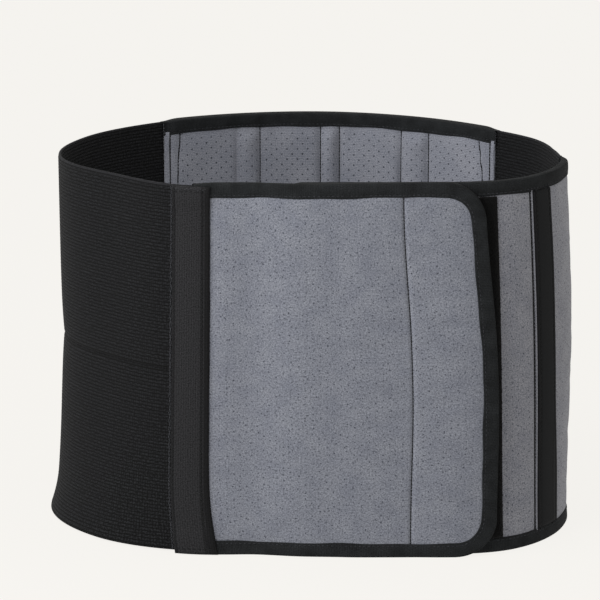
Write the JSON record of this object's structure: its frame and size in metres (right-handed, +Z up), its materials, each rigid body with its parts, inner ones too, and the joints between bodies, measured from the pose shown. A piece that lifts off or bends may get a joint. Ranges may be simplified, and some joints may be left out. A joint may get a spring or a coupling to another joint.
{
  "type": "abdominal binder",
  "caption": "Wide elastic waist support with padded grey panels, taped edges and an overlapping front flap that closes with hook and loop, standing closed.",
  "frame": {"origin": "middle of the footprint, on the surface that the lower edge stands on", "axes": "+X along the longest extent, towards the free end of the front flap; -Y is the front with the flap; +Z up"},
  "size_m": [0.3414, 0.2548, 0.24],
  "materials": {
    "perforated_laminate": "napped knit on perforated foam",
    "edge_tape": "woven polyester tape, matt",
    "webbing": "flat woven webbing",
    "ribbed_elastic": "ribbed elastic with low sheen",
    "loop_pile": "brushed loop pile",
    "hook_tape": "hook tape, matt",
    "shell_cloth": "plain knitted cover cloth"
  },
  "bodies": {
    "root": {"front_panel": "perforated_laminate", "front_panel_tape": "edge_tape", "front_seam_band": "webbing", "hook_pad": "hook_tape", "loop_pad": "loop_pile", "side_panel": "perforated_laminate", "side_panel_tape": "edge_tape", "side_band": "webbing", "left_elastic_upper": "ribbed_elastic", "left_elastic_lower": "ribbed_elastic", "right_elastic_upper": "ribbed_elastic", "right_elastic_lower": "ribbed_elastic", "back_lining": "perforated_laminate", "back_shell": "shell_cloth", "back_tape_top": "edge_tape", "back_tape_foot": "edge_tape"}
  },
  "joints": []
}
